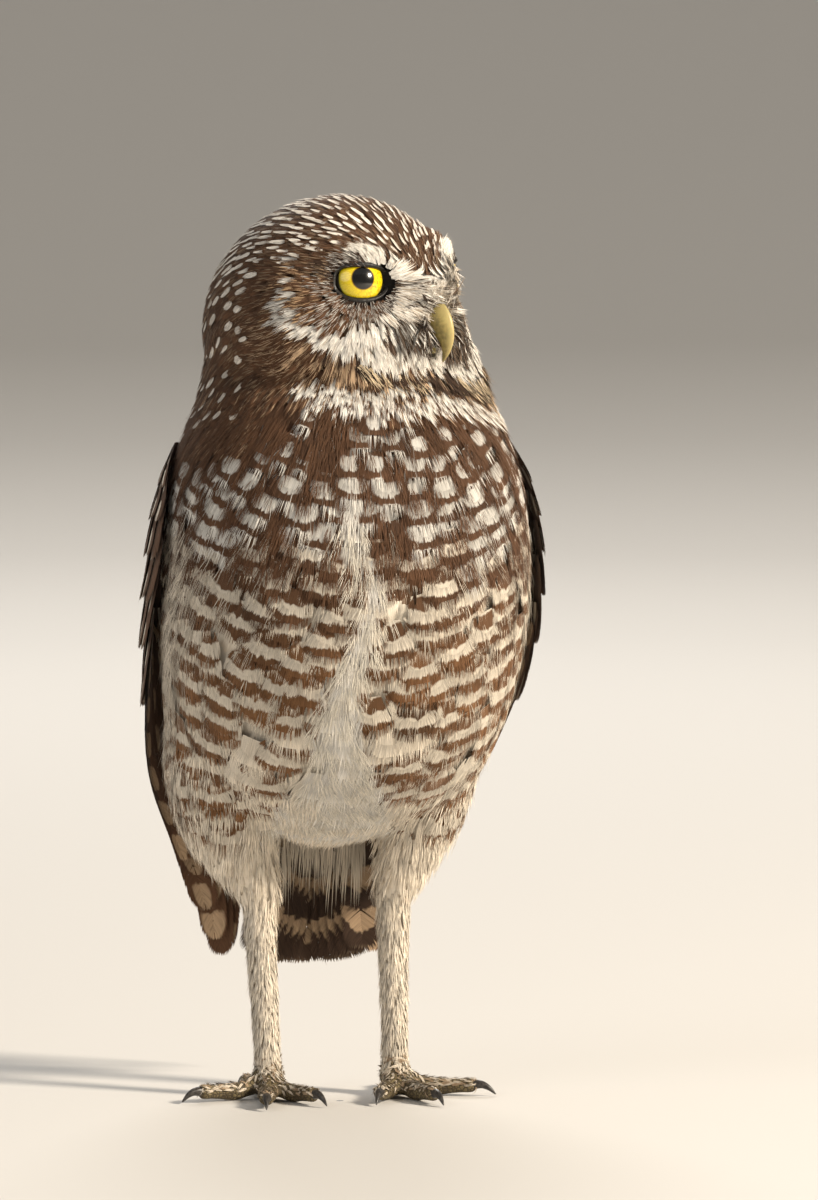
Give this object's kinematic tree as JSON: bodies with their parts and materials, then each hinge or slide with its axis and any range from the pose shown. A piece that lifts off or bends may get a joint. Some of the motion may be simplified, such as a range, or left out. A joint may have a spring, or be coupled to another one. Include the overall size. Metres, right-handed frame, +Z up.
{
  "type": "burrowing owl",
  "caption": "Burrowing owl standing upright on both feet with folded wings, looking over its left shoulder, as a still life-size model.",
  "frame": {"origin": "on the ground under the middle of the bird's box", "axes": "+Z up; the body faces -Y and the bird's own left side is +X; the head is turned towards +X"},
  "size_m": [0.1108, 0.1034, 0.2455],
  "materials": {
    "brown_plumage": "brown feathers, matte",
    "barred_plumage": "feathers barred brown and cream, matte",
    "pale_plumage": "cream feathers, matte",
    "horn": "olive yellow horn, satin",
    "claw": "dark horn, satin",
    "toe_skin": "scaly skin, matte",
    "iris": "yellow iris with a black pupil under a clear, glossy front",
    "lid_skin": "dark bare skin, satin"
  },
  "bodies": {
    "root": {"bill_lower": "horn", "bill_upper": "horn", "claw_left_hind": "claw", "claw_left_inner": "claw", "claw_left_middle": "claw", "claw_left_outer": "claw", "claw_right_hind": "claw", "claw_right_inner": "claw", "claw_right_middle": "claw", "claw_right_outer": "claw", "eye_left": "iris", "eye_right": "iris", "foot_left": "toe_skin", "foot_right": "toe_skin", "head": "brown_plumage", "lids_left": "lid_skin", "lids_right": "lid_skin", "neck": "barred_plumage", "shank_left": "pale_plumage", "shank_right": "pale_plumage", "tail": "brown_plumage", "thigh_left": "pale_plumage", "thigh_right": "pale_plumage", "torso": "barred_plumage", "wing_left": "brown_plumage", "wing_right": "brown_plumage"}
  },
  "joints": []
}
